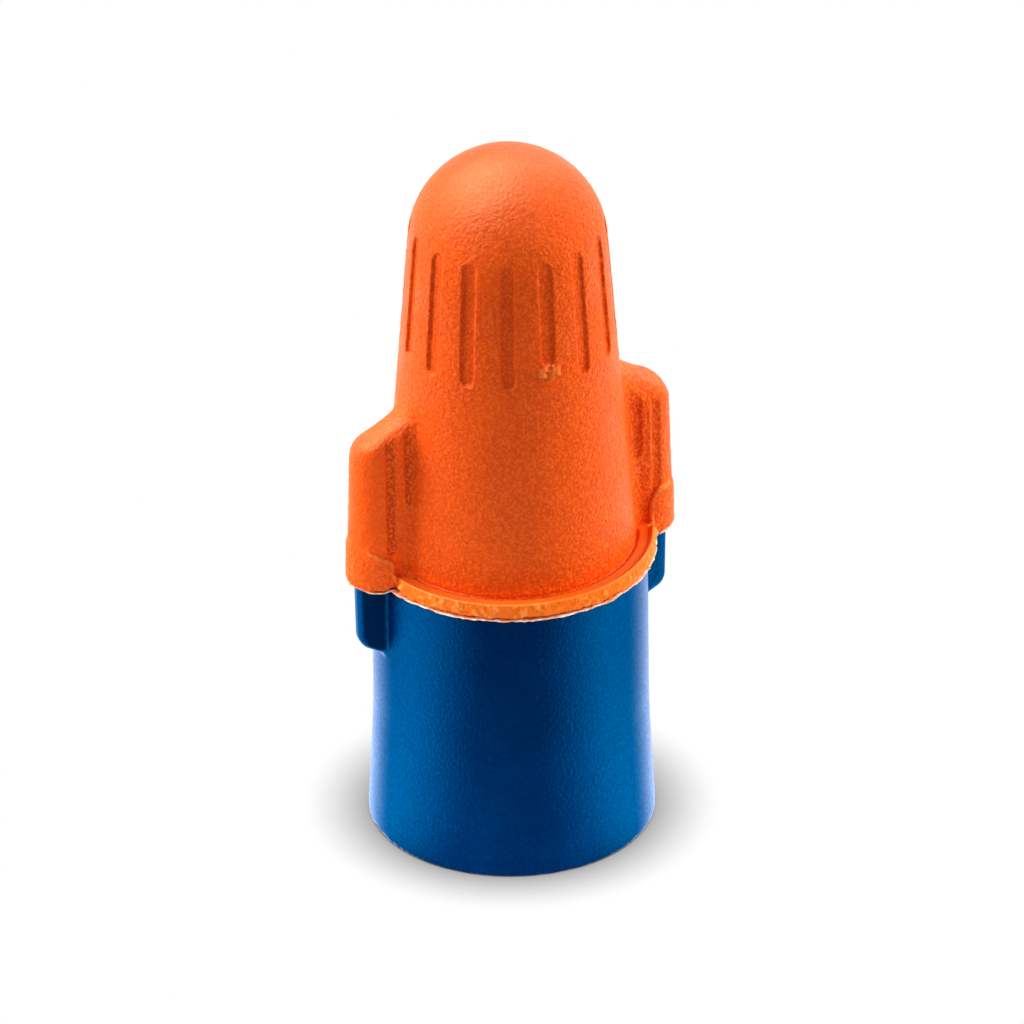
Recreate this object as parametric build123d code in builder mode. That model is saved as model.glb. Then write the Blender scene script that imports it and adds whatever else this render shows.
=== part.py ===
from build123d import *
import os
from math import atan, cos, degrees, sin

# Winged twist-on wire connector, in millimetres.
#
# A soft grip is moulded over a hard shell, and a square-wire spring floats inside the shell.
# The shell runs on below the grip as a skirt that covers the wires' insulation.
#
# Frame: +Z runs along the axis, from the skirt's mouth to the dome. The origin is the centre
# of the mouth's rim, on which the connector stands. The wings lie along X, and the point
# where the grip was injected faces -Y.

# ---------------------------------------------------------------- driving dimensions
overall_height = 34.0
dome_radius = 4.52
rim_radius = 6.6
rim_bottom_z = 13.5
rim_top_z = 14.15
grip_foot_radius = 5.65  # the grip's cone where it meets the rim
grip_wall = 0.85  # the grip's thickness over the shell

skirt_radius = 6.2
skirt_mouth_radius = 6.4
skirt_wall = 1.0
skirt_bore_depth = 10.4
flare_low_z = 0.6
flare_mid_z = 3.4
flare_mid_radius = 6.3
flare_high_z = 6.0
mouth_round = 0.12
lock_groove_z = 15.0
lock_groove_height = 0.6
lock_groove_depth = 0.25

wire_side = 0.8  # the spring's square wire
spring_turns = 11
spring_mouth_radius = 3.03  # centre of the wire at the widest coil
spring_gap = 0.32  # room for the spring to open inside its chamber
spring_free_turn = 10.0  # degrees that the spring can turn each way before its tang stops it

flute_count = 16
flute_width = 0.63

# ---------------------------------------------------------------- derived dimensions
dome_centre_z = overall_height - dome_radius
cone_slope = (grip_foot_radius - dome_radius) / (dome_centre_z - rim_top_z)
cone_lean = atan(cone_slope)
core_dome_radius = dome_radius - grip_wall
wire_half_diagonal = wire_side / 2**0.5


def cone_radius(z):
    """Outside radius of the grip's cone at height z."""
    return dome_radius + cone_slope * (dome_centre_z - z)


def core_radius(z):
    """Outside radius of the shell's core, under the grip, at height z."""
    return cone_radius(z) - grip_wall


# Inside the shell, from the mouth upwards.
skirt_bore_radius = skirt_radius - skirt_wall
mouth_bore_radius = 5.5
mouth_lead_in = 1.6
lip_bottom_z = 12.75
lip_top_z = 13.1
lip_radius = 3.35  # narrower than the widest coil, so the spring stays in
chamber_bottom_z = 13.5
chamber_top_z = 28.5
chamber_slope = 0.0767  # radius lost for each millimetre of height

spring_bottom_z = 13.9
spring_top_z = 27.8
spring_length = spring_top_z - spring_bottom_z
spring_end_radius = spring_mouth_radius - chamber_slope * spring_length
wire_outer_radius = spring_mouth_radius + wire_half_diagonal
chamber_mouth_radius = (
    wire_outer_radius + spring_gap + chamber_slope * (spring_bottom_z - chamber_bottom_z)
)
chamber_end_radius = chamber_mouth_radius - chamber_slope * (chamber_top_z - chamber_bottom_z)

# The spring's tang stands in an arc-shaped pocket in the shell's closed end.
tang_top_z = 29.5
pocket_top_z = 29.8
pocket_clearance = 0.1
pocket_inner_radius = spring_end_radius - wire_side / 2 - pocket_clearance
pocket_outer_radius = spring_end_radius + wire_side / 2 + pocket_clearance
tang_inner_angle = degrees(wire_side / 2 / (spring_end_radius - wire_side / 2))
pocket_half_angle = spring_free_turn + tang_inner_angle

# Fins of the shell, which stiffen the grip's wings and show below them.
fin_thickness = 0.95
fin_reach = 7.55
fin_low_reach = 7.45
fin_top_reach = 7.1
fin_bottom_z = 10.1
fin_root_z = 9.4
fin_top_z = 19.5
fin_peak_z = 21.1  # where the fins' upper edge meets the core
fin_low_corner = 0.4
fin_top_corner = 0.5
fin_edge_round = 0.33
fin_lock_radius = 0.7  # a hole through each fin, which the grip fills
fin_lock_x = 6.0
fin_lock_z = 17.0

# The grip's wings. Their shoulders slope down and out from the cone.
wing_reach = 7.82
wing_thickness = 2.7
wing_draft = 1.3  # degrees, so that the wings narrow upwards
shoulder_root_z = 25.15  # where the lines of the two shoulders meet, inside the cone
shoulder_slope = 0.63  # height lost for each millimetre outwards
wing_edge_round = 0.7

# Thick feet at the lower ends of the wings, where the rim runs round them.
foot_reach = 7.87
foot_thickness = 3.1
foot_bottom_z = 13.35
foot_top_z = 15.7
foot_inner_x = 6.25
foot_corner = 1.0
wing_root_fillet = 0.1
rim_fall = 0.02  # the rim's top falls by this much outwards
rim_rounds = (0.12, 0.2, 0.1)  # at the rim's lower edge, its upper edge and the cone's foot

flute_depth = 0.2
flute_bottom_z = 24.6
flute_top_z = 30.7
wing_flute_floor_y = 1.1
wing_flute_top_z = 24.6  # above the shoulders, so that the flutes run out there
wing_flute_depth = 0.5  # more than the wing's skin over the floor
wing_flutes = [(6.6, 15.2, 0.5), (5.55, 17.5, 0.75)]  # distance from the axis, lower end, width

gate_turn = 270  # degrees from +X, so the gate faces -Y
gate_flute_bottom_z = 25.6
gate_z = 25.4
gate_radius = 0.3
gate_sunk = 0.65  # how far the stub starts below the grip's surface
gate_proud = 0.12


def profile_pair(outline, radii, thickness):
    """A plate, centred on y 0, with the given XZ outline and its mirror image across x 0."""
    with BuildPart() as plate:
        with BuildSketch(Plane.XZ):
            with BuildLine():
                FilletPolyline(*outline, radius=radii, close=True)
            make_face()
        extrude(amount=thickness / 2, both=True)
        mirror(about=Plane.YZ)
    return plate.part


# ---------------------------------------------------------------- shell without its hollow
with BuildPart() as shell_blank:
    with BuildSketch(Plane.XZ):
        with BuildLine():
            Polyline((0, dome_centre_z + core_dome_radius), (0, 0), (skirt_mouth_radius, 0))
            Line((skirt_mouth_radius, 0), (skirt_mouth_radius, flare_low_z))
            flare_low = TangentArc(
                (skirt_mouth_radius, flare_low_z), (flare_mid_radius, flare_mid_z), tangent=(0, 1)
            )
            flare_high = TangentArc(
                flare_low @ 1, (skirt_radius, flare_high_z), tangent=flare_low % 1
            )
            Polyline(
                flare_high @ 1,
                (skirt_radius, rim_bottom_z),
                (core_radius(rim_bottom_z), rim_bottom_z),
                (core_dome_radius, dome_centre_z),
            )
            CenterArc((0, dome_centre_z), core_dome_radius, 0, 90)
        make_face()
    revolve(axis=Axis.Z)
    # A groove round the core locks the grip on.
    with BuildSketch(Plane.XZ):
        with Locations((core_radius(lock_groove_z), lock_groove_z)):
            Rectangle(2 * lock_groove_depth, lock_groove_height)
    revolve(axis=Axis.Z, mode=Mode.SUBTRACT)

# The fins are one plate through the axis, rounded along its outer edges.
fin_inner_x = core_radius(fin_top_z) - 0.3  # inside the core, so that the two fuse
fins_outline = [
    (fin_inner_x, fin_root_z),
    (skirt_radius, fin_root_z),
    (fin_low_reach, fin_bottom_z),
    (fin_reach, rim_bottom_z),
    (fin_top_reach, fin_top_z),
    (fin_inner_x, fin_peak_z),
]
with BuildPart() as fins:
    add(profile_pair(fins_outline, (0, 0, fin_low_corner, 0, fin_top_corner, 0), fin_thickness))
    side_edges = fins.edges().filter_by(lambda e: abs(e.center().Y) > fin_thickness / 4)
    outer_edges = side_edges.filter_by(lambda e: abs(e.center().X) > 6.5 and e.length > 1.5)
    fillet(outer_edges, fin_edge_round)
    with BuildSketch(Plane.XZ):
        with Locations((fin_lock_x, fin_lock_z), (-fin_lock_x, fin_lock_z)):
            Circle(fin_lock_radius)
    extrude(amount=fin_thickness, both=True, mode=Mode.SUBTRACT)

with BuildPart() as shell_outside:
    add(shell_blank.part)
    add(fins.part)

# ---------------------------------------------------------------- hard shell
with BuildPart() as hard_shell:
    add(shell_outside.part)
    with BuildSketch(Plane.XZ):
        with BuildLine():
            Polyline(
                (0, 0),
                (mouth_bore_radius, 0),
                (skirt_bore_radius, mouth_lead_in),
                (skirt_bore_radius, skirt_bore_depth),
                (lip_radius, lip_bottom_z),
                (lip_radius, lip_top_z),
                (chamber_mouth_radius, chamber_bottom_z),
                (chamber_end_radius, chamber_top_z),
                (0, chamber_top_z),
                close=True,
            )
        make_face()
    revolve(axis=Axis.Z, mode=Mode.SUBTRACT)
    # The pocket for the spring's tang, centred on +X.
    with BuildSketch(Plane.XY.offset(chamber_top_z)):
        with BuildLine():
            inner = CenterArc((0, 0), pocket_inner_radius, -pocket_half_angle, 2 * pocket_half_angle)
            outer = CenterArc((0, 0), pocket_outer_radius, -pocket_half_angle, 2 * pocket_half_angle)
            Line(inner @ 0, outer @ 0)
            Line(inner @ 1, outer @ 1)
        make_face()
    extrude(amount=pocket_top_z - chamber_top_z, mode=Mode.SUBTRACT)
    mouth_edges = hard_shell.edges().filter_by(GeomType.CIRCLE).group_by(Axis.Z)[0]
    fillet(mouth_edges, mouth_round)

# ---------------------------------------------------------------- live spring
with BuildPart() as live_spring:
    with BuildLine() as wire_path:
        Helix(
            pitch=spring_length / spring_turns,
            height=spring_length,
            radius=spring_mouth_radius,
            center=(0, 0, spring_bottom_z),
            cone_angle=-degrees(atan(chamber_slope)),
        )
    start = wire_path.line @ 0
    with BuildSketch(Plane(origin=start, x_dir=(1, 0, 0), z_dir=wire_path.line % 0)):
        Rectangle(wire_side, wire_side, rotation=45)
    sweep(path=wire_path.line, is_frenet=True)
    # The tang: the wire's last end, bent up along the axis into its pocket.
    with BuildSketch(Plane.XY.offset(spring_top_z - wire_side / 4)):
        with Locations((spring_end_radius, 0)):
            Rectangle(wire_side, wire_side)
    extrude(amount=tang_top_z - spring_top_z + wire_side / 4)

# ---------------------------------------------------------------- cushion grip
# The wings are a drafted slot-shaped block, trimmed to the shoulders' outline.
wing_outline = [
    (0, foot_bottom_z),
    (wing_reach + 1, foot_bottom_z),
    (wing_reach + 1, shoulder_root_z - shoulder_slope * (wing_reach + 1)),
    (0, shoulder_root_z),
]
with BuildPart() as wings:
    with BuildSketch(Plane.XY.offset(foot_bottom_z)):
        SlotOverall(2 * wing_reach, wing_thickness)
    extrude(amount=shoulder_root_z - foot_bottom_z, taper=wing_draft)
    trim = profile_pair(wing_outline, 0, 2 * wing_thickness)
    add(trim, mode=Mode.INTERSECT)
    tips = wings.edges().filter_by(lambda e: abs(e.center().X) > wing_reach - 1)
    fillet(tips.group_by(Axis.Z)[-1], wing_edge_round)


def flute_cutter(bottom_z):
    """What one flute removes, on the +X side. Its floor leans in with the cone."""
    floor = Plane(
        origin=(dome_radius - flute_depth, 0, dome_centre_z),
        x_dir=(0, 1, 0),
        z_dir=(cos(cone_lean), 0, sin(cone_lean)),
    )
    with BuildPart() as cutter:
        with BuildSketch(floor):
            with Locations((0, (bottom_z + flute_top_z) / 2 - dome_centre_z)):
                SlotOverall(flute_top_z - bottom_z, flute_width, rotation=90)
        extrude(amount=1)
    return cutter.part


flute = flute_cutter(flute_bottom_z)
gate_flute = flute_cutter(gate_flute_bottom_z)

foot_outline = [
    (foot_inner_x, foot_bottom_z),
    (foot_reach + 1, foot_bottom_z),
    (foot_reach + 1, foot_top_z),
    (foot_inner_x, foot_top_z),
]
with BuildPart() as feet:
    with BuildSketch(Plane.XY.offset(foot_bottom_z)):
        SlotOverall(2 * foot_reach, foot_thickness)
    extrude(amount=foot_top_z - foot_bottom_z)
    trim = profile_pair(foot_outline, (0, 0, 0, foot_corner), 2 * foot_thickness)
    add(trim, mode=Mode.INTERSECT)

with BuildPart() as cushion_grip:
    with BuildSketch(Plane.XZ):
        with BuildLine():
            Line((0, overall_height), (0, rim_bottom_z))
            FilletPolyline(
                (0, rim_bottom_z),
                (rim_radius, rim_bottom_z),
                (rim_radius, rim_top_z - rim_fall),
                (grip_foot_radius, rim_top_z),
                (dome_radius, dome_centre_z),
                radius=rim_rounds,
            )
            CenterArc((0, dome_centre_z), dome_radius, 0, 90)
        make_face()
    revolve(axis=Axis.Z)
    add(wings.part)
    corners = cushion_grip.edges().filter_by(
        lambda e: e.length > 5 and 1 < abs(e.center().Y) < 1.4 and 4 < abs(e.center().X) < 5.5
    )
    fillet(corners, wing_root_fillet)
    add(feet.part)

    # Flutes round the cone, which end on the dome.
    for step in range(flute_count):
        turn = 360 / flute_count * step
        cutter = gate_flute if turn == gate_turn else flute
        add(cutter.rotate(Axis.Z, turn), mode=Mode.SUBTRACT)

    # Flutes on both faces of each wing, running out at the shoulders.
    for side in (Plane.XZ, Plane.XZ.rotated((0, 0, 180))):
        with BuildSketch(side.offset(wing_flute_floor_y)):
            for x, bottom_z, width in wing_flutes:
                middle_z = (bottom_z + wing_flute_top_z) / 2
                with Locations((x, middle_z), (-x, middle_z)):
                    SlotOverall(wing_flute_top_z - bottom_z, width, rotation=90)
        extrude(amount=wing_flute_depth, mode=Mode.SUBTRACT)

    # The stub left where the grip was injected.
    with BuildSketch(Plane.XZ.offset(cone_radius(gate_z) - gate_sunk)):
        with Locations((0, gate_z)):
            Circle(gate_radius)
    extrude(amount=gate_sunk + gate_proud)

    add(shell_outside.part, mode=Mode.SUBTRACT)

# ---------------------------------------------------------------- write the pieces
os.makedirs("parts", exist_ok=True)

hard_shell.part.label = "hard_shell"
export_step(hard_shell.part, "parts/hard_shell.step")

live_spring.part.label = "live_spring"
export_step(live_spring.part, "parts/live_spring.step")

cushion_grip.part.label = "cushion_grip"
export_step(cushion_grip.part, "parts/cushion_grip.step")
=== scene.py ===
from math import atan, cos, pi, radians, sin, tan

import bpy
import numpy as np
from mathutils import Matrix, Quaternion, Vector


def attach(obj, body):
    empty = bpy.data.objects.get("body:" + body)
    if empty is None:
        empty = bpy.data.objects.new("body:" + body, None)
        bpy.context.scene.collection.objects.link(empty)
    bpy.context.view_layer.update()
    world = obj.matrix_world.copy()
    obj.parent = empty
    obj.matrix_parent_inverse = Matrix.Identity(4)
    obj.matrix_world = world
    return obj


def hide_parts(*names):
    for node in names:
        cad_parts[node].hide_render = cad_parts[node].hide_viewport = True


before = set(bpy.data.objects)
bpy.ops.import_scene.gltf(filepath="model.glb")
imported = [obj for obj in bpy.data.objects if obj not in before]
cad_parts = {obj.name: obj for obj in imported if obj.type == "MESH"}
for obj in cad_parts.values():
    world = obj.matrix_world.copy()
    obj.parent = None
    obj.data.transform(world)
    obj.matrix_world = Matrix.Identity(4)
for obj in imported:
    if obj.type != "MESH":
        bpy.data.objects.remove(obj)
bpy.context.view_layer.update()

# A winged twist-on wire connector: a soft orange grip moulded over a blue shell, and a
# square-wire spring inside. The two mouldings are built as distance fields, in millimetres,
# and meshed on a grid, so that every blend, flute and rounded edge is real geometry.
# Each mesh is then scaled to metres. +Z is the connector's axis, and the wings lie along X.

MM = 0.001
RNG = np.random.default_rng(11)


# ---------------------------------------------------------------- distance-field tools
def length(*parts):
    """The length of a vector with these components."""
    return np.sqrt(sum(part * part for part in parts))


def join(a, b, radius):
    """The union of two solids, with a fillet of this radius between them."""
    return np.maximum(radius, np.minimum(a, b)) - length(
        np.maximum(radius - a, 0), np.maximum(radius - b, 0)
    )


def keep(a, b, radius):
    """The part of a that is inside b, with its new edge rounded to this radius."""
    return np.minimum(-radius, np.maximum(a, b)) + length(
        np.maximum(radius + a, 0), np.maximum(radius + b, 0)
    )


def ease(low, high, value):
    """0 at low and short of it, 1 at high and past it, smooth between. Low may be the larger."""
    t = np.clip((value - low) / (high - low), 0, 1)
    return t * t * (3 - 2 * t)


def revolved(points, r, z):
    """Distance to a closed profile of (radius, height) points turned round the axis."""
    squared, inside = 1e9, False
    for (r0, z0), (r1, z1) in zip(points, points[1:] + points[:1]):
        er, ez = r1 - r0, z1 - z0
        wr, wz = r - r0, z - z0
        t = np.clip((wr * er + wz * ez) / (er * er + ez * ez), 0, 1)
        squared = np.minimum(squared, (wr - er * t) ** 2 + (wz - ez * t) ** 2)
        if ez != 0:
            between = (z >= min(z0, z1)) & (z < max(z0, z1))
            inside = inside ^ (between & (r < r0 + er * (z - z0) / ez))
    return np.where(inside, -1, 1) * np.sqrt(squared)


NOISE_SIZE = 64
NOISE = RNG.standard_normal((NOISE_SIZE,) * 3).astype(np.float32)


def noise(points, scale, shift=0):
    """Smooth random values, about -1 to 1, on an (n, 3) array of points. One cell is scale mm."""
    scaled = points / scale + shift
    base = np.floor(scaled).astype(int)
    part = scaled - base
    part = part * part * (3 - 2 * part)
    total = 0
    for corner in range(8):
        offset = np.array([corner & 1, corner >> 1 & 1, corner >> 2])
        weight = np.prod(np.where(offset, part, 1 - part), axis=1)
        i, j, k = ((base + offset) % NOISE_SIZE).T
        total = total + weight * NOISE[i, j, k]
    return total


# ---------------------------------------------------------------- meshing
CORNERS = [(i, j, k) for i in (0, 1) for j in (0, 1) for k in (0, 1)]
EDGES = [
    (a, b)
    for a in range(8)
    for b in range(a + 1, 8)
    if sum(abs(p - q) for p, q in zip(CORNERS[a], CORNERS[b])) == 1
]


def gradient(field, points, step=0.01):
    """The unit direction in which the field grows, at each point."""
    slopes = []
    for axis in range(3):
        shift = np.zeros(3)
        shift[axis] = step
        slopes.append(field(*(points + shift).T) - field(*(points - shift).T))
    slopes = np.stack(slopes, axis=1)
    return slopes / np.maximum(np.linalg.norm(slopes, axis=1, keepdims=True), 1e-9)


def surface(field, low, high, cell, rounds=3):
    """Vertices and quads where the field is zero, relaxed so that the quads are even."""
    x, y, z = (
        np.arange(a, b + cell, cell, dtype=np.float32) for a, b in zip(low, high)
    )
    values = field(x[:, None, None], y[None, :, None], z[None, None, :]).astype(np.float32)

    # A vertex in each cell that the surface crosses, at the mean of its edges' crossings.
    inside = values < 0
    count = sum(
        inside[i : i + len(x) - 1, j : j + len(y) - 1, k : k + len(z) - 1].astype(np.uint8)
        for i, j, k in CORNERS
    )
    active = (count > 0) & (count < 8)
    cells = np.argwhere(active)
    number = np.full(active.shape, -1, np.int32)
    number[active] = np.arange(len(cells))
    at = [values[tuple((cells + corner).T)] for corner in CORNERS]
    total, hits = np.zeros((len(cells), 3)), np.zeros(len(cells))
    for a, b in EDGES:
        crossing = (at[a] < 0) != (at[b] < 0)
        t = np.where(crossing, at[a] / np.where(crossing, at[a] - at[b], 1), 0)
        place = np.array(CORNERS[a]) + t[:, None] * (np.array(CORNERS[b]) - CORNERS[a])
        total += place * crossing[:, None]
        hits += crossing
    points = np.array([x[0], y[0], z[0]]) + cell * (cells + total / hits[:, None])

    # A quad across each edge of the grid that the surface crosses, from the four cells round it.
    quads = []
    for axis in range(3):
        slices = np.moveaxis(inside, axis, 0)
        crossed = np.argwhere(np.moveaxis(slices[:-1] != slices[1:], 0, axis))
        first, second = (axis + 1) % 3, (axis + 2) % 3
        crossed = crossed[(crossed[:, first] > 0) & (crossed[:, second] > 0)]
        outward = inside[tuple(crossed.T)]
        ring = []
        for u, v in ((1, 1), (0, 1), (0, 0), (1, 0)):
            around = crossed.copy()
            around[:, first] -= u
            around[:, second] -= v
            ring.append(number[tuple(around.T)])
        ring = np.stack(ring, axis=1)
        quads.append(np.where(outward[:, None], ring, ring[:, ::-1]))
    quads = np.concatenate(quads)

    # Each round evens out the vertices, then pulls them back onto the surface.
    starts, ends = quads.ravel(), np.roll(quads, -1, axis=1).ravel()
    degree = np.maximum(np.bincount(starts, minlength=len(points)), 1)
    for _ in range(rounds):
        mean = np.stack(
            [np.bincount(starts, points[ends, a], len(points)) / degree for a in range(3)], axis=1
        )
        points = points + 0.5 * (mean - points)
        for _ in range(2):
            off = np.clip(field(*points.T), -cell, cell)
            points = points - off[:, None] * gradient(field, points)
    return points, quads


def mesh_piece(name, points, faces, material, body, *stands_for):
    """A smooth-shaded piece made from points in millimetres, riding on a body."""
    mesh = bpy.data.meshes.new(name)
    faces = np.asarray(faces, np.int32)
    sides = faces.shape[1]
    mesh.vertices.add(len(points))
    mesh.vertices.foreach_set("co", (np.asarray(points) * MM).astype(np.float32).ravel())
    mesh.loops.add(faces.size)
    mesh.loops.foreach_set("vertex_index", faces.ravel())
    mesh.polygons.add(len(faces))
    mesh.polygons.foreach_set("loop_start", np.arange(0, faces.size, sides, dtype=np.int32))
    mesh.polygons.foreach_set("loop_total", np.full(len(faces), sides, np.int32))
    mesh.update(calc_edges=True)
    mesh.validate()
    mesh.shade_smooth()
    mesh.materials.append(material)
    piece = bpy.data.objects.new(name, mesh)
    bpy.context.scene.collection.objects.link(piece)
    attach(piece, body)
    if stands_for:
        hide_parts(*stands_for)
    return piece


def paint(piece, **values):
    """Stores one number a vertex under each name, for the piece's material to read."""
    for name, numbers in values.items():
        layer = piece.data.attributes.new(name, "FLOAT", "POINT")
        layer.data.foreach_set("value", np.asarray(numbers, np.float32))


# ---------------------------------------------------------------- sizes, in millimetres
# HALF is half a thickness or width, and REACH is a distance from the axis along X.
# The grip is a round-ended cone with a rim. The rim's edge is a band, and has a bead on top.
DOME_R, DOME_Z = 4.52, 29.48
CONE_LEAN = atan(0.0735)
GRIP_WALL = 0.85
RIM_R, RIM_LOW, RIM_HIGH, RIM_ROUND = 6.58, 13.5, 14.14, 0.14
RIM_INNER_R, BAND_LOW = 5.65, 13.62
BEAD_R, BEAD_Z, BEAD_SIZE = 6.43, 14.19, 0.10
CHANNEL_R, CHANNEL_Z, CHANNEL_SIZE = 5.70, 14.16, 0.10
NOOK_X, NOOK_Y, NOOK_SIZE = 6.35, 1.85, 0.28

# The wings narrow upwards. Their shoulders slope down and out from SHOULDER_ROOT_Z on the axis.
WING_REACH, WING_HALF, WING_LEAN, WING_FILLET = 7.82, 1.35, tan(radians(1.3)), 0.5
SHOULDER_ROOT_Z, SHOULDER_FALL, SHOULDER_TILT = 25.15, 0.63, 0.2
FOOT_REACH, FOOT_HALF, FOOT_IN, FOOT_LOW, FOOT_HIGH = 7.85, 1.5, 6.3, 13.37, 14.95
FOOT_EXTRA = 0.75  # how much higher the foot is on its tall face

FLUTE_COUNT, FLUTE_HALF, FLUTE_DEPTH, FLUTE_LOW, FLUTE_HIGH = 16, 0.315, 0.16, 24.6, 30.7
GATE_FLUTE_LOW = 25.65  # one flute ends higher, above the stub at the injection point
GATE_Z = 25.35
# The stub's rough crown: places across and up, and sizes.
GATE_LUMPS = (
    (-0.44, 25.42, 0.17), (-0.18, 25.54, 0.20), (0.12, 25.50, 0.20), (0.40, 25.44, 0.18),
    (-0.28, 25.22, 0.19), (0.06, 25.16, 0.22), (0.32, 25.20, 0.17),
)
# Flutes on the wings' faces: distance from the axis, lower end, half of the width. They lie
# nearer the axis on the face whose foot is low.
WING_FLUTES = ((6.62, 15.2, 0.21), (5.5, 17.4, 0.42))
WING_FLUTE_DEPTH, WING_FLUTE_SHIFT = 0.11, 0.38

# The shell's skirt flares below FLARE_TOP. Its fins' lower ends slope in towards the skirt.
SKIRT_R, MOUTH_R, MOUTH_ROUND = 6.2, 6.43, 0.06
FLARE_TOP, FLARE_HEIGHT, FLARE_CURVE = 6.0, 5.6, 1.3
FIN_HALF, FIN_LOW_REACH, FIN_HIGH_REACH, FIN_LOW, FIN_TOP = 0.475, 7.42, 7.50, 10.1, 19.5
FIN_SHOWING = 3.15  # the height over which it reaches FIN_HIGH_REACH
FIN_TAPER = 0.45  # how much narrower it gets inside the wing
FIN_SLOPE, FIN_SLOPE_COS = 0.56, 0.8725
FIN_EDGE_ROUND, FIN_FILLET = 0.36, 0.22
# The hollow's outline, in radius and height: the skirt's bore, the throat, and the chamber for
# the spring. It runs past the axis, so that the middle is hollow too.
HOLLOW = [
    (-9, -1), (5.7, -1), (5.5, 0), (5.2, 1.6), (5.2, 10.4), (3.35, 12.75), (3.35, 13.1),
    (3.98, 13.5), (2.83, 28.5), (-9, 28.5),
]
# The arc-shaped pocket that the spring's tang turns in, centred on +X.
POCKET_R, POCKET_HALF, POCKET_ROUND, POCKET_TURN = 1.964, 0.45, 0.05, radians(24.6)
POCKET_LOW, POCKET_TOP = 28.0, 29.8


def cone_radius(z):
    """The outside radius of the grip's cone at height z."""
    return (DOME_R + (DOME_Z - z) * sin(CONE_LEAN)) / cos(CONE_LEAN)


# ---------------------------------------------------------------- shell
def core(r, z, inset=0.0):
    """A round-ended cone, which is both the grip's body and, inset, the shell's core."""
    up = z - DOME_Z
    cone = r * cos(CONE_LEAN) + up * sin(CONE_LEAN) - DOME_R + inset
    ball = length(r, up) - DOME_R + inset
    return np.where(up * cos(CONE_LEAN) > r * sin(CONE_LEAN), ball, cone)


def skirt_radius(z):
    """The outside radius of the shell's skirt at height z."""
    flare = np.clip((FLARE_TOP - z) / FLARE_HEIGHT, 0, 1) ** FLARE_CURVE
    return SKIRT_R + (MOUTH_R - SKIRT_R) * flare


def shell_outside(x, y, z):
    """The skirt, the core under the grip, and the two fins, without the hollow inside."""
    r = length(x, y)
    skirt = keep(r - skirt_radius(z), -z, MOUTH_ROUND)
    skirt = keep(skirt, z - RIM_LOW, 0.05)
    shell = np.minimum(skirt, np.maximum(core(r, z, GRIP_WALL), 1.0 - z))
    across = abs(x)
    reach = FIN_LOW_REACH + (FIN_HIGH_REACH - FIN_LOW_REACH) * (z - FIN_LOW) / FIN_SHOWING
    reach = reach - FIN_TAPER * ease(RIM_LOW + 0.5, FIN_TOP, z)
    low_end = ((across - FIN_LOW_REACH) * FIN_SLOPE - (z - FIN_LOW)) * FIN_SLOPE_COS
    outline = keep(keep(across - reach, low_end, 0.4), z - FIN_TOP, 0.5)
    fin = keep(outline, abs(y) - FIN_HALF, FIN_EDGE_ROUND)
    return join(shell, fin, FIN_FILLET)


def shell_field(x, y, z):
    """The shell, with its hollow and the tang's pocket."""
    r = length(x, y)
    hollow = revolved(HOLLOW, r, z)
    sideways = np.maximum(abs(np.arctan2(y, x)) - POCKET_TURN, 0) * POCKET_R
    pocket = length(np.maximum(abs(r - POCKET_R) - POCKET_HALF, 0), sideways)
    pocket = np.maximum(np.maximum(pocket - POCKET_ROUND, z - POCKET_TOP), POCKET_LOW - z)
    return keep(keep(shell_outside(x, y, z), -hollow, 0.12), -pocket, 0.02)


# ---------------------------------------------------------------- grip
def slab(x, y, reach, half):
    """Distance in plan to a wing with a rounded end."""
    over = np.maximum(abs(x) - (reach - half), 0)
    return length(over, y) - half


def handed(x, y):
    """0 to 1 from one face of a wing to the other, alike on both wings after half a turn."""
    return ease(0.6, -0.6, y * np.sign(x))


def foot_outline(x, y, z):
    """Distance, in the view along Y, to a foot's arch. On one face it is tall, with a long
    curve to its side. On the other it is low, and climbs towards the wing's tip."""
    tall = handed(x, y)
    side = FOOT_IN - 0.15 * ease(14.5, 13.6, z) - abs(x)
    top = FOOT_HIGH + FOOT_EXTRA * tall + 0.5 * (1 - tall) * np.maximum(abs(x) - 6.5, 0)
    return keep(side, (z - top) * (1 - 0.4 * tall), 0.25 + 0.4 * tall)


def wing_slots(x, y, z):
    """Distance, in the view along Y, to the nearest groove in a wing's face."""
    nearest = np.full(np.shape(x), np.inf)
    for at, low, wide in WING_FLUTES:
        off = abs(x) - at + WING_FLUTE_SHIFT * (1 - handed(x, y))
        nearest = np.minimum(nearest, length(off, np.minimum(z - low - wide, 0)) - wide)
    return nearest


def wing_field(x, y, z):
    """Both wings, with their sloping shoulders and the grooves in their faces."""
    across = abs(x)
    lean = (z - FOOT_LOW) * WING_LEAN
    half = WING_HALF - lean
    top = SHOULDER_ROOT_Z - SHOULDER_FALL * across + SHOULDER_TILT * y * np.sign(x)
    shoulder = (z - top) * cos(atan(SHOULDER_FALL))
    rounding = 0.95 - 0.55 * ease(6.2, 7.4, across)
    wing = keep(slab(x, y, WING_REACH - lean, half), shoulder, rounding)
    grooves = keep(wing_slots(x, y, z), half - WING_FLUTE_DEPTH - abs(y), 0.10)
    return keep(wing, -grooves, 0.07)


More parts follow.
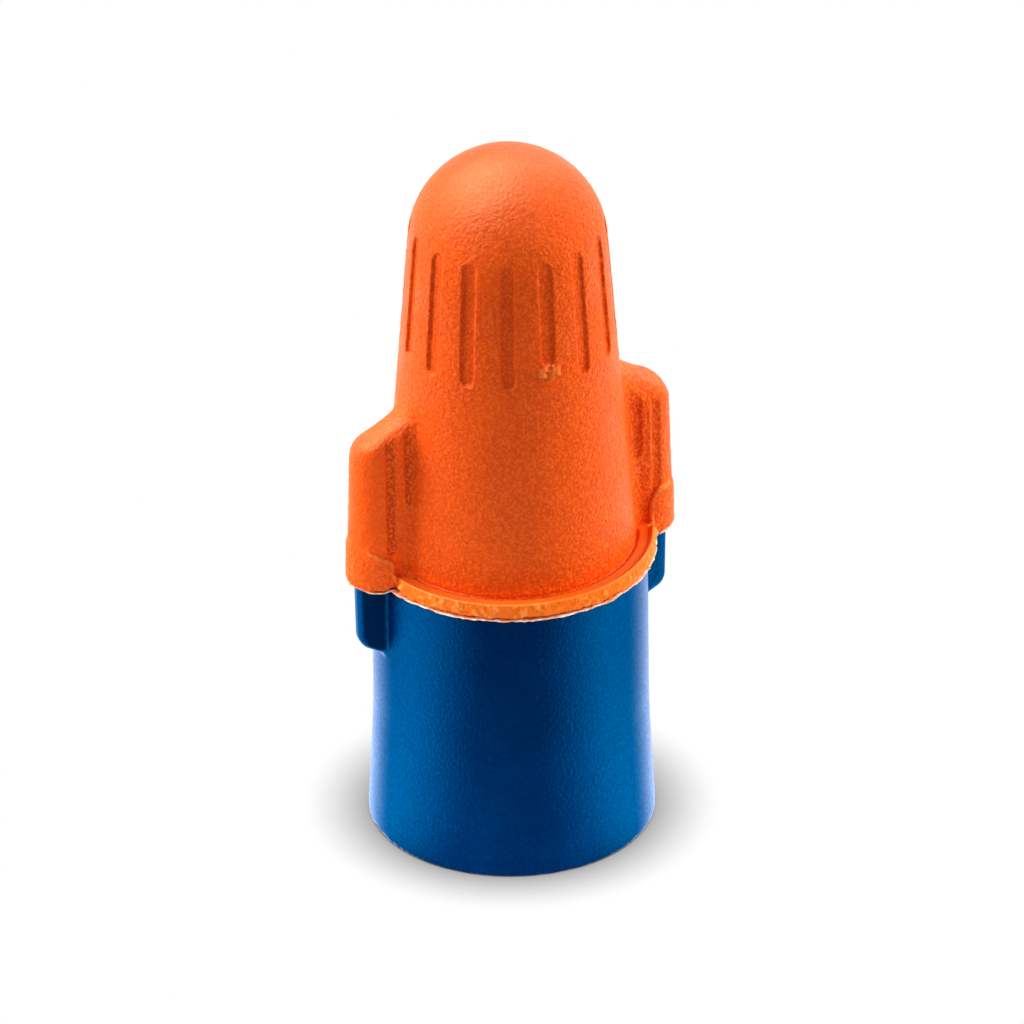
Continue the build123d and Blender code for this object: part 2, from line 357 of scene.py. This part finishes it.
def cone_flutes(x, y, z):
    """The flutes round the cone, folded into one sector. Also their outline, seen square on."""
    r, angle = length(x, y), np.arctan2(y, x)
    sector = 2 * pi / FLUTE_COUNT
    step = np.round(angle / sector)
    along, across = r * np.cos(angle - step * sector), r * np.sin(angle - step * sector)
    low = np.where(step == -FLUTE_COUNT // 4, GATE_FLUTE_LOW, FLUTE_LOW) + FLUTE_HALF
    slot = length(across, z - np.clip(z, low, FLUTE_HIGH - FLUTE_HALF)) - FLUTE_HALF
    above_floor = along * cos(CONE_LEAN) + (z - DOME_Z) * sin(CONE_LEAN) - DOME_R + FLUTE_DEPTH
    return keep(slot, -above_floor, 0.07), slot


def grip_outside(x, y, z):
    """The grip without the space that the shell fills."""
    r = length(x, y)
    body = keep(core(r, z), -cone_flutes(x, y, z)[0], 0.05)
    # The stub at the injection point.
    for lump_x, lump_z, size in GATE_LUMPS:
        lump = length(x - lump_x, y + cone_radius(lump_z) - 0.02, z - lump_z) - size
        body = join(body, lump, 0.05)

    body = join(body, wing_field(x, y, z), WING_FILLET)

    # The rim, with a bead along its outer edge, and a fine channel at the foot of the cone.
    rim = keep(r - RIM_R, z - RIM_HIGH, RIM_ROUND)
    rim = join(rim, length(r - BEAD_R, z - BEAD_Z) - BEAD_SIZE, 0.08)
    body = join(body, rim, 0.03)
    off_wing = slab(x, y, WING_REACH, WING_HALF)
    channel = length(r - CHANNEL_R, z - CHANNEL_Z) - CHANNEL_SIZE
    body = keep(body, -keep(channel, 0.5 - off_wing, 0.03), 0.02)
    # Beside each foot the rim's side is pinched in.
    nook = length(abs(x) - NOOK_X, abs(y) - NOOK_Y) - NOOK_SIZE
    body = keep(body, -nook, 0.10)

    softness = 0.10 + 0.3 * ease(6.9, 7.6, abs(x))
    foot = keep(slab(x, y, FOOT_REACH, FOOT_HALF), foot_outline(x, y, z), softness)
    body = join(body, foot, 0.12)
    # The lower face rises a little under the rim's band, and drops under the feet.
    low_wall = RIM_LOW + (BAND_LOW - RIM_LOW) * ease(6.2, 6.36, r)
    low_wall = low_wall - (BAND_LOW - FOOT_LOW - 0.08) * ease(RIM_R - 0.05, RIM_R + 0.15, r)
    return keep(body, low_wall - z, 0.08)


def grip_field(x, y, z):
    """The grip, a hair clear of the shell."""
    return np.maximum(grip_outside(x, y, z), -shell_outside(x, y, z) + 0.01)


# ---------------------------------------------------------------- materials
def material(name):
    """A new material, its node tree and its Principled shader."""
    made = bpy.data.materials.new(name)
    made.use_nodes = True
    tree = made.node_tree
    return made, tree, tree.nodes["Principled BSDF"]


class Graph:
    """Short calls for building one material's nodes. Noise scales are per millimetre."""

    def __init__(self, tree):
        self.tree = tree
        coordinates = tree.nodes.new("ShaderNodeTexCoord")
        self.place = self.vector("SCALE", coordinates.outputs["Object"], scale=1 / MM)

    def node(self, kind, **settings):
        made = self.tree.nodes.new(kind)
        for key, value in settings.items():
            setattr(made, key, value)
        return made

    def link(self, source, target):
        if hasattr(source, "is_output"):
            self.tree.links.new(source, target)
        else:
            target.default_value = source

    def vector(self, operation, a, b=None, scale=None, output="Vector"):
        made = self.node("ShaderNodeVectorMath", operation=operation)
        self.link(a, made.inputs[0])
        if b is not None:
            self.link(b, made.inputs[1])
        if scale is not None:
            self.link(scale, made.inputs["Scale"])
        return made.outputs[output]

    def math(self, operation, a, b=0.0, clamp=False):
        made = self.node("ShaderNodeMath", operation=operation, use_clamp=clamp)
        self.link(a, made.inputs[0])
        self.link(b, made.inputs[1])
        return made.outputs[0]

    def noise(self, scale, detail=2.0, rough=0.5, stretch=None):
        made = self.node("ShaderNodeTexNoise")
        place = self.place if stretch is None else self.vector("MULTIPLY", self.place, stretch)
        self.link(place, made.inputs["Vector"])
        made.inputs["Scale"].default_value = scale
        made.inputs["Detail"].default_value = detail
        made.inputs["Roughness"].default_value = rough
        return made.outputs["Fac"]

    def span(self, value, low, high, out_low=0.0, out_high=1.0):
        made = self.node("ShaderNodeMapRange", interpolation_type="SMOOTHSTEP")
        for key, number in (
            ("Value", value), ("From Min", low), ("From Max", high),
            ("To Min", out_low), ("To Max", out_high),
        ):
            self.link(number, made.inputs[key])
        return made.outputs["Result"]

    def mix(self, factor, a, b):
        made = self.node("ShaderNodeMix", data_type="RGBA")
        self.link(factor, made.inputs["Factor"])
        self.link(a, made.inputs[6])
        self.link(b, made.inputs[7])
        return made.outputs[2]

    def mix_vectors(self, factor, a, b):
        made = self.node("ShaderNodeMix", data_type="VECTOR")
        self.link(factor, made.inputs["Factor"])
        self.link(a, made.inputs[4])
        self.link(b, made.inputs[5])
        return made.outputs[1]

    def bump(self, height, distance_mm, strength=1.0, normal=None):
        made = self.node("ShaderNodeBump")
        self.link(height, made.inputs["Height"])
        made.inputs["Distance"].default_value = distance_mm * MM
        made.inputs["Strength"].default_value = strength
        if normal is not None:
            self.link(normal, made.inputs["Normal"])
        return made.outputs["Normal"]

    def painted(self, name):
        return self.node("ShaderNodeAttribute", attribute_name=name).outputs["Fac"]


def grip_material():
    """Spark-eroded orange rubber. Painted values say where its grain and colour change, and where
    light and shade are painted into its colour.
    """
    made, tree, shader = material("grip_soft_orange")
    g = Graph(tree)
    grain = g.noise(6.0, 2.0, 0.6)
    dots, fine = g.noise(7.6, 1.0, 0.4), g.noise(15.0, 1.0, 0.5)
    cloud = g.noise(0.45, 3.0, 0.55)
    rough = g.painted("grain")
    base = g.mix(g.span(cloud, 0.35, 0.7), (0.70, 0.078, 0.0003, 1), (0.76, 0.090, 0.0005, 1))
    # Painted light: the wings, most of all the one towards -X, and the feet are made brighter.
    base = g.mix(g.painted("lit"), base, (0.96, 0.112, 0.001, 1))
    # Painted shade: the flutes' floors and the grooves in one face of each wing are made darker.
    base = g.mix(g.painted("deep"), base, (0.58, 0.056, 0.0002, 1))
    # Paler specks, more where the painted grain is coarser: partly the rubber's own speckle,
    # partly painted glints of light off the grain.
    speck = g.math("MULTIPLY", g.span(dots, 0.42, 0.66, 0.0, 0.55), rough, clamp=True)
    base = g.mix(speck, base, (0.92, 0.175, 0.016, 1))
    base = g.mix(g.painted("yellow"), base, (0.92, 0.195, 0.003, 1))
    # Pale where the rubber is thin or torn, and painted highlights along the bead's crest and on
    # the band.
    base = g.mix(g.painted("pale"), base, (0.97, 0.38, 0.09, 1))
    g.link(base, shader.inputs["Base Color"])
    g.link(g.span(cloud, 0.3, 0.75, 0.50, 0.62), shader.inputs["Roughness"])
    shader.inputs["Specular IOR Level"].default_value = 0.52
    shader.inputs["Specular Tint"].default_value = (0.75, 0.95, 0.62, 1)
    bumps = g.bump(grain, 0.10, 0.85)
    bumps = g.bump(fine, 0.02, 0.6, bumps)
    smooth = g.node("ShaderNodeNewGeometry").outputs["Normal"]
    g.link(g.mix_vectors(rough, smooth, bumps), shader.inputs["Normal"])
    return made


def flash_material():
    """Thin rubber, through which light passes, so it looks paler than the grip."""
    made, tree, shader = material("grip_thin_flash")
    g = Graph(tree)
    patches = g.noise(2.2, 2.0, 0.6)
    base = g.mix(g.span(patches, 0.35, 0.65), (0.92, 0.40, 0.20, 1), (0.98, 0.78, 0.62, 1))
    g.link(base, shader.inputs["Base Color"])
    shader.inputs["Roughness"].default_value = 0.5
    g.link(g.bump(g.noise(9.0, 2.0, 0.5), 0.03, 0.6), shader.inputs["Normal"])
    return made


def shell_material():
    """Glossier than the grip. Its reflections are tinted, and pale where it turns away."""
    made, tree, shader = material("shell_blue_polypropylene")
    g = Graph(tree)
    cloud = g.noise(0.30, 3.0, 0.55)
    speck = g.noise(6.5, 1.0, 0.5)
    base = g.mix(g.span(cloud, 0.35, 0.7), (0.0002, 0.0165, 0.094, 1), (0.0003, 0.021, 0.109, 1))
    base = g.mix(g.span(speck, 0.55, 0.75, 0.0, 0.2), base, (0.0005, 0.050, 0.18, 1))
    g.link(base, shader.inputs["Base Color"])
    shader.inputs["Roughness"].default_value = 0.5
    shader.inputs["Specular IOR Level"].default_value = 0.0
    waves = g.bump(g.noise(0.5, 1.0, 0.4), 0.07, 0.25)
    bumps = g.bump(speck, 0.04, 0.75, waves)
    g.link(bumps, shader.inputs["Normal"])
    turned = g.node("ShaderNodeLayerWeight")
    turned.inputs["Blend"].default_value = 0.5
    gloss = g.node("ShaderNodeBsdfGlossy")
    edge = g.span(turned.outputs["Facing"], 0.55, 1.0)
    tint = g.mix(edge, (0.0, 0.052, 0.101, 1), (0.22, 0.27, 0.37, 1))
    mottle = g.span(speck, 0.35, 0.65, 0.90, 1.10)
    g.link(g.vector("SCALE", tint, scale=mottle), gloss.inputs["Color"])
    g.link(g.span(cloud, 0.3, 0.75, 0.28, 0.36), gloss.inputs["Roughness"])
    g.link(bumps, gloss.inputs["Normal"])
    both = g.node("ShaderNodeAddShader")
    g.link(shader.outputs[0], both.inputs[0])
    g.link(gloss.outputs[0], both.inputs[1])
    g.link(both.outputs[0], tree.nodes["Material Output"].inputs["Surface"])
    return made


def spring_material():
    """Zinc plate, with lines from the wire's drawing."""
    made, tree, shader = material("spring_zinc_plate")
    g = Graph(tree)
    spangle = g.noise(2.2, 3.0, 0.6)
    drawn = g.noise(6.0, 2.0, 0.5, (1.0, 1.0, 9.0))
    base = g.mix(g.span(spangle, 0.35, 0.7), (0.52, 0.53, 0.55, 1), (0.72, 0.72, 0.70, 1))
    g.link(base, shader.inputs["Base Color"])
    shader.inputs["Metallic"].default_value = 1.0
    g.link(g.span(drawn, 0.3, 0.7, 0.24, 0.42), shader.inputs["Roughness"])
    g.link(g.bump(drawn, 0.02, 0.4), shader.inputs["Normal"])
    return made


# ---------------------------------------------------------------- pieces: the two mouldings
def build_shell(cell):
    points, quads = surface(shell_field, (-7.8, -6.7, -0.3), (7.8, 6.7, 33.6), cell)
    shell = mesh_piece("shell_body", points, quads, shell_material(), "shell", "hard_shell")


def build_grip(cell):
    """The grip, with the relief of its grain, stub and torn rim added by moving its vertices."""
    # This start keeps the grid's layers off the bead's top, which would be pinched otherwise.
    points, quads = surface(grip_field, (-8.2, -6.9, 13.02), (8.2, 6.9, 34.2), cell)
    x, y, high = points.T
    across, radius = abs(x), np.linalg.norm(points[:, :2], axis=1)
    outward = gradient(grip_outside, points)
    skin = ease(0.2, 0.0, abs(grip_outside(x, y, high)))  # 0 on the face the shell fills

    # How far each vertex is in each region of the grip, from 0 to 1.
    in_foot = ease(0.25, 0.05, slab(x, y, FOOT_REACH, FOOT_HALF))
    on_foot = in_foot * (high < FOOT_HIGH + FOOT_EXTRA)
    on_rim = ease(RIM_INNER_R + 0.05, RIM_INNER_R + 0.16, radius) * (1 - in_foot)
    on_rim *= ease(BEAD_Z + 0.2, BEAD_Z + 0.12, high)
    band = on_rim * ease(RIM_R - 0.12, RIM_R - 0.04, radius)
    on_wing = ease(0.2, -0.1, slab(x, y, WING_REACH, WING_HALF))
    on_wing *= ease(4.9, 5.4, across) * ease(24.8, 23.0, high)
    wing_face = on_wing * ease(6.9, 6.4, across) * ease(0.8, 1.1, abs(y))
    gate = ease(0.62, 0.45, length(x, (high - GATE_Z) * 1.5)) * (y < -4)
    # A thin ridge runs along the arch of each foot.
    ridge = np.exp(-((foot_outline(x, y, high) / 0.06) ** 2))
    ridge *= (abs(y) > 0.9) * (radius > RIM_INNER_R) * (high > 13.9) * ease(7.5, 7.1, across)

    # The wing towards +X, the feet and the wings' faces have the coarsest grain. The dome has
    # less, and the top of the rim has almost none.
    right = ease(-1.0, 1.0, x)
    rough = 0.9 + 0.5 * ease(-2.0, 4.5, x) + 0.7 * wing_face
    rough += 0.2 * on_wing * right + 0.6 * on_foot
    rough *= 1 - 0.35 * ease(30.8, 33.0, high)
    rough *= 1 - 0.9 * on_rim * (1 - band)

    coarse, fine = noise(points, 0.3, 3), noise(points, 0.15, 9)
    lift = np.minimum(rough, 1) * (0.006 * noise(points, 0.24) + 0.005 * noise(points, 0.14, 7))
    lift += 0.10 * ridge + 0.022 * band * (coarse + fine)
    lift += 0.09 * gate * noise(points, 0.2, 5)
    points = points + (skin * lift)[:, None] * outward
    grip = mesh_piece("grip_body", points, quads, grip_material(), "shell", "cushion_grip")

    # The colours: pale where rubber is thin or torn, with painted highlights along the bead's
    # crest and on the band; painted shade in the flutes and in the grooves of one face of each
    # wing; painted light on the wings and feet.
    # A painted highlight along the crest of the rim's bead.
    bead_highlight = np.exp(-(((radius - BEAD_R) / 0.07) ** 2)) * on_rim * (high > RIM_HIGH)
    pale = 0.6 * ridge + gate * (0.12 + 0.20 * ease(-0.6, 1.0, coarse))
    pale += 0.45 * bead_highlight + 0.65 * band * ease(0.0, 1.4, 0.6 * coarse + fine)
    in_flute = ease(0.02, -0.06, cone_flutes(*points.T)[1])
    in_flute *= ease(24.0, 24.4, high) * ease(33.0, 32.0, high)
    in_flute *= ease(4.9, 4.6, radius + (high - DOME_Z) * sin(CONE_LEAN))
    in_slot = ease(0.06, -0.06, wing_slots(*points.T)) * wing_face
    in_slot *= ease(1.0, -1.0, x * np.sign(-y))
    paint(
        grip,
        grain=rough,
        yellow=0.75 * on_rim + 0.2 * gate,
        pale=np.clip(pale, 0, 0.85),
        # Painted light on the wings, strongest on the one towards -X, and on the feet.
        lit=np.clip(on_wing * (0.8 - 0.6 * right) + 0.3 * on_foot, 0, 1),
        # Painted shade in the flutes and in one face's grooves.
        deep=0.15 * in_flute + 0.8 * in_slot,
    )


# ---------------------------------------------------------------- piece: flash round the rim
def flash_ring(count=2400):
    """The thin ragged fin that the mould's parting line leaves round the rim and the feet."""
    turn = np.linspace(0, 2 * pi, count, endpoint=False)
    # The outline that it follows is the rim's, or a foot's where that reaches further.
    reach = np.full(count, RIM_R)
    for out in np.linspace(6.0, 8.2, 1200):
        x, y = out * np.cos(turn), out * np.sin(turn)
        in_foot = slab(x, y, FOOT_REACH, FOOT_HALF) < 0
        reach = np.where(in_foot, np.maximum(reach, out), reach)
    on_foot = ease(RIM_R + 0.02, RIM_R + 0.3, reach)
    reach = reach - 0.1 * ease(7.0, 7.8, reach)
    low = RIM_LOW - (RIM_LOW - FOOT_LOW) * on_foot - 0.04

    # How far it stands out, sags and thickens varies round it.
    at_rim = np.stack([np.cos(turn), np.sin(turn), 0 * turn], axis=1) * RIM_R
    out = 0.04 + 0.025 * noise(at_rim, 0.6, 9) + 0.02 * noise(at_rim, 0.17, 13)
    out = np.clip(out, 0.0, 0.12)
    drop = 0.02 * noise(at_rim, 0.4, 17)
    thick = 0.06 + 0.012 * noise(at_rim, 0.3, 21)

    # Its section: how far in from the edge, and up through the thickness.
    rings = []
    for inset, up in ((0.45, 0.0), (0.04, 0.0), (0.0, 0.3), (0.01, 0.8), (0.08, 1.0), (0.45, 1.0)):
        r = reach + out - inset
        z = low + drop * (inset < 0.1) + thick * up
        rings.append(np.stack([r * np.cos(turn), r * np.sin(turn), z], axis=1))
    points = np.concatenate(rings)
    faces = []
    here = np.arange(count)
    after = (here + 1) % count
    for k in range(len(rings)):
        a, b = k * count, (k + 1) % len(rings) * count
        faces.append(np.stack([a + here, a + after, b + after, b + here], axis=1))
    return points, np.concatenate(faces)


def build_flash():
    flash = mesh_piece("grip_flash", *flash_ring(), flash_material(), "shell")


# ---------------------------------------------------------------- piece: the spring
def spring_mesh(per_turn=72):
    """A square wire with softened corners, wound up a cone corner to corner. Its last end is
    bent up as a tang, and twisted so that its faces lie along the pocket's."""
    low, high, turns, half = 13.9, 27.8, 11, 0.4
    wide, fall = 3.03, 0.0767  # the radius at the wide end, and how fast it shrinks
    tang_r, tang_bend, tang_top = wide - fall * (high - low), 0.6, 29.5
    turn = np.linspace(0, 2 * pi * turns - tang_bend / tang_r, per_turn * turns)
    z = low + (high - low) * turn / (2 * pi * turns)
    bend = np.linspace(0, pi / 2, 13)[1:]
    rise = np.linspace(z[-1] + tang_bend, tang_top, 10)[1:]
    twist = np.concatenate([0 * turn, ease(0, pi / 2, bend) * pi / 4, 0 * rise + pi / 4])
    r = np.concatenate([wide - fall * (z - low), 0 * bend + tang_r, 0 * rise + tang_r])
    turn = np.concatenate([turn, (np.sin(bend) - 1) * tang_bend / tang_r, 0 * rise])
    z = np.concatenate([z, z[-1] + tang_bend * (1 - np.cos(bend)), rise])
    path = np.stack([r * np.cos(turn), r * np.sin(turn), z], axis=1)

    # Directions across the wire, square to its path.
    along = np.gradient(path, axis=0)
    along /= np.linalg.norm(along, axis=1, keepdims=True)
    outward = np.stack([np.cos(turn), np.sin(turn), 0 * turn], axis=1)
    upward = np.cross(outward, along)
    upward /= np.linalg.norm(upward, axis=1, keepdims=True)
    outward = np.cross(along, upward)
    # Each corner is softened into three points: an angle off it, and a part of its reach.
    strands = []
    for corner in range(4):
        for off, part in ((-0.14, 0.905), (0.0, 0.93), (0.14, 0.905)):
            a, reach = (corner * pi / 2 + off + twist)[:, None], half * 2**0.5 * part
            strands.append(path + reach * (outward * np.cos(a) + upward * np.sin(a)))
    sides = len(strands)
    points = np.stack(strands, axis=1).reshape(-1, 3)
    i = np.arange(len(path) - 1) * sides
    faces = []
    for k in range(sides):
        n = (k + 1) % sides
        faces.append(np.stack([i + k, i + sides + k, i + sides + n, i + n], axis=1))
    # Each end is closed by a strip of quads.
    cap = np.array([(-k % sides, k + 1, k + 2, -k - 1 + sides) for k in range(sides // 2 - 1)])
    faces += [cap, cap[:, ::-1] + len(points) - sides]
    return points, np.concatenate(faces)


def build_spring():
    points, faces = spring_mesh()
    spring = mesh_piece("spring_coil", points, faces, spring_material(), "spring", "live_spring")


build_shell(cell=0.125)
build_grip(cell=0.08)
build_flash()
build_spring()

# ---------------------------------------------------------------- floor, light and camera
CAMERA_TURN, CAMERA_RISE, CAMERA_ROLL = -22.0, 31.2, 0.45


def direction(azimuth, elevation):
    """The way from the object towards a camera or light at this azimuth and elevation."""
    a, e = radians(azimuth), radians(elevation)
    return Vector((sin(a) * cos(e), -cos(a) * cos(e), sin(e)))


def floor_material():
    """White to the camera, with a narrow contact shadow painted into its glow from ambient
    occlusion, and clear from below.

    To the object it is a sweep whose light depends on the way round from the camera: its
    reflection is dark in front and bright at the sides, and it fills the front and back."""
    made, tree, shader = material("floor_white")
    tree.nodes.remove(shader)
    g = Graph(tree)
    # Painted shadow: the glow that the camera sees is darkened near the object by ambient
    # occlusion.
    shadow = g.node("ShaderNodeAmbientOcclusion", samples=16)
    shadow.inputs["Distance"].default_value = 0.003
    white = g.node("ShaderNodeEmission")
    g.link(g.math("POWER", shadow.outputs["AO"], 1.2), white.inputs["Color"])

    right, ahead = direction(CAMERA_TURN + 90, 0), direction(CAMERA_TURN, 0)
    sideways = g.math("ABSOLUTE", g.vector("DOT_PRODUCT", g.place, tuple(right), output="Value"))
    forwards = g.vector("DOT_PRODUCT", g.place, tuple(ahead), output="Value")
    turn = g.math("ARCTAN2", sideways, forwards)
    off_axis = g.vector("LENGTH", g.place, output="Value")
    mirrored = g.span(turn, radians(20), radians(80), 0.0, 2.4)
    mirrored = g.math("MULTIPLY", mirrored, g.span(off_axis, 8.0, 22.0, 1.45, 1.0))
    turn_from_axis = g.math("ARCTAN2", sideways, g.math("ABSOLUTE", forwards))
    fill = g.span(turn_from_axis, radians(20), radians(50), 2.7, 0.0)
    fill = g.math("MULTIPLY", fill, g.span(off_axis, 12.0, 50.0, 1.0, 0.0))
    ray = g.node("ShaderNodeLightPath").outputs
    strength = g.node("ShaderNodeMix", data_type="FLOAT")
    for source, socket in zip((ray["Is Glossy Ray"], fill, mirrored), (0, 2, 3)):
        g.link(source, strength.inputs[socket])
    sweep = g.node("ShaderNodeEmission")
    g.link(strength.outputs[0], sweep.inputs["Strength"])

    to_camera, from_below = g.node("ShaderNodeMixShader"), g.node("ShaderNodeMixShader")
    clear = g.node("ShaderNodeBsdfTransparent")
    g.link(ray["Is Camera Ray"], to_camera.inputs[0])
    g.link(sweep.outputs[0], to_camera.inputs[1])
    g.link(white.outputs[0], to_camera.inputs[2])
    g.link(g.node("ShaderNodeNewGeometry").outputs["Backfacing"], from_below.inputs[0])
    g.link(to_camera.outputs[0], from_below.inputs[1])
    g.link(clear.outputs[0], from_below.inputs[2])
    g.link(from_below.outputs[0], tree.nodes["Material Output"].inputs["Surface"])
    return made


# One large triangle, so that no seam crosses the floor. It lies a hair below the rim that
# stands on it, so that the rim's face is whole when seen from below.
FLOOR_DROP = 0.00004
FLOOR_SIZE = 8.0
floor_corners = [direction(turn, 0) * FLOOR_SIZE for turn in (0, 120, 240)]
floor_mesh = bpy.data.meshes.new("floor")
floor_mesh.from_pydata(floor_corners, [], [(0, 1, 2)])
floor_mesh.materials.append(floor_material())
floor = bpy.data.objects.new("floor", floor_mesh)
floor.location.z = -FLOOR_DROP
bpy.context.scene.collection.objects.link(floor)


def sun(name, azimuth, elevation, width, strength, part):
    """A distant soft light, width degrees across, turned relative to the camera.

    It lights one part of what a surface reflects, "diffuse" or "glossy"."""
    lamp = bpy.data.lights.new(name, "SUN")
    lamp.angle, lamp.energy = radians(width), strength
    made = bpy.data.objects.new(name, lamp)
    made.rotation_mode = "QUATERNION"
    toward = direction(CAMERA_TURN + azimuth, elevation)
    made.rotation_quaternion = toward.to_track_quat("Z", "Y")
    made.location = toward * 0.3
    made.visible_diffuse = part == "diffuse"
    made.visible_glossy = part == "glossy"
    bpy.context.scene.collection.objects.link(made)


sun("light_left", -100, 25, 50, 5.0, "diffuse")
sun("light_right", 100, 25, 50, 4.0, "diffuse")
sun("fill_left", -45, 20, 60, 1.35, "diffuse")
sun("fill_right", 45, 5, 60, 1.8, "diffuse")
sun("fill_back", 180, 5, 80, 1.8, "diffuse")
sun("gleam_top", -125, 62, 50, 8.5, "glossy")
sun("gleam_back", 150, 40, 60, 3.0, "glossy")

# The room is white to the camera, and gives the object a little light.
world = bpy.data.worlds.new("studio")
bpy.context.scene.world = world
world.use_nodes = True
nodes, links = world.node_tree.nodes, world.node_tree.links
room, path = nodes["Background"], nodes.new("ShaderNodeLightPath")
room.inputs["Color"].default_value = (1, 1, 1, 1)
brightness = nodes.new("ShaderNodeMapRange")
brightness.inputs["To Min"].default_value = 0.03
links.new(path.outputs["Is Camera Ray"], brightness.inputs["Value"])
links.new(brightness.outputs["Result"], room.inputs["Strength"])

# The view is parallel, as through a very long lens. The mouth's centre lies MOUTH_DROP of the
# frame's width below the middle, and the camera is rolled a little.
FRAME_WIDTH, MOUTH_DROP, DISTANCE = 46.05 * MM, 0.2836, 0.5
camera_data = bpy.data.cameras.new("camera")
camera_data.type = "ORTHO"
camera_data.ortho_scale = FRAME_WIDTH
camera_data.clip_start, camera_data.clip_end = 0.01, 20
camera = bpy.data.objects.new("camera", camera_data)
bpy.context.scene.collection.objects.link(camera)
bpy.context.scene.camera = camera
back = direction(CAMERA_TURN, CAMERA_RISE)
camera.rotation_mode = "QUATERNION"
upright = back.to_track_quat("Z", "Y")
camera.rotation_quaternion = Quaternion(back, -radians(CAMERA_ROLL)) @ upright
up = camera.rotation_quaternion @ Vector((0, 1, 0))
camera.location = back * DISTANCE + up * MOUTH_DROP * FRAME_WIDTH

# The gamma is part of how the colours above were matched.
bpy.context.scene.view_settings.view_transform = "Standard"
bpy.context.scene.view_settings.gamma = 0.85
